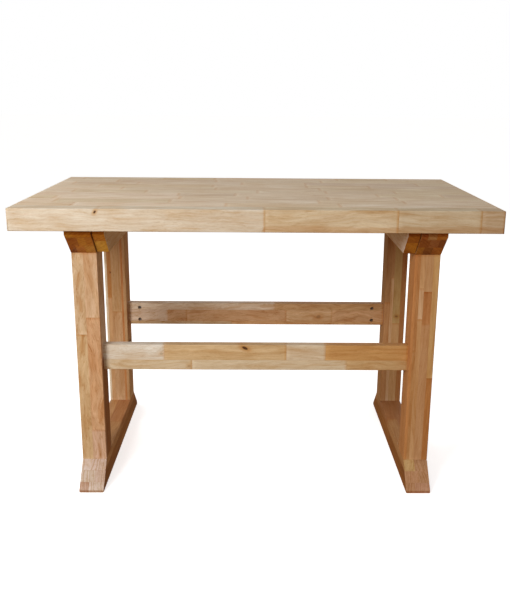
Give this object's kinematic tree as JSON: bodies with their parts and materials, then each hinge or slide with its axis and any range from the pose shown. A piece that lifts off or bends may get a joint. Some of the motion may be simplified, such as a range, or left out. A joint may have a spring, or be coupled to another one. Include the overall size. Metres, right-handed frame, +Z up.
{
  "type": "butcher block table",
  "caption": "Rectangular table with a thick edge-glued butcher block top on two trestles with bevelled feet and headers, tied by bolted stretchers.",
  "frame": {"origin": "on the floor, below the centre of the top", "axes": "+X along the table's length to the right, +Y towards the rear, +Z up"},
  "size_m": [1.2, 0.7, 0.77],
  "materials": {
    "top_wood": "satin clear lacquer on edge-glued, finger-jointed pale hardwood staves",
    "post_wood": "satin clear lacquer on laminated orange-tan hardwood",
    "rail_wood": "satin clear lacquer on laminated hardwood with end grain on the bevels",
    "cleat_wood": "satin clear lacquer on golden-brown hardwood",
    "stretcher_wood": "satin clear lacquer on laminated, finger-jointed hardwood",
    "zinc_steel": "bright zinc plate",
    "nut_steel": "dull zinc plate",
    "insert_brass": "plain turned brass"
  },
  "bodies": {
    "root": {"top_stave_01": "top_wood", "top_stave_02": "top_wood", "top_stave_03": "top_wood", "top_stave_04": "top_wood", "top_stave_05": "top_wood", "top_stave_06": "top_wood", "top_stave_07": "top_wood", "top_stave_08": "top_wood", "top_stave_09": "top_wood", "top_stave_10": "top_wood", "top_stave_11": "top_wood", "left_foot": "rail_wood", "left_header": "rail_wood", "left_cleat": "cleat_wood", "left_header_bolts": "zinc_steel", "left_header_washers": "zinc_steel", "left_cleat_screws": "zinc_steel", "left_stretcher_bolts": "zinc_steel", "left_stretcher_washers": "zinc_steel", "left_top_inserts": "insert_brass", "left_barrel_nuts": "nut_steel", "left_front_post": "post_wood", "left_rear_post": "post_wood", "right_foot": "rail_wood", "right_header": "rail_wood", "right_cleat": "cleat_wood", "right_header_bolts": "zinc_steel", "right_header_washers": "zinc_steel", "right_cleat_screws": "zinc_steel", "right_stretcher_bolts": "zinc_steel", "right_stretcher_washers": "zinc_steel", "right_top_inserts": "insert_brass", "right_barrel_nuts": "nut_steel", "right_front_post": "post_wood", "right_rear_post": "post_wood", "front_stretcher": "stretcher_wood", "rear_stretcher": "stretcher_wood"}
  },
  "joints": []
}
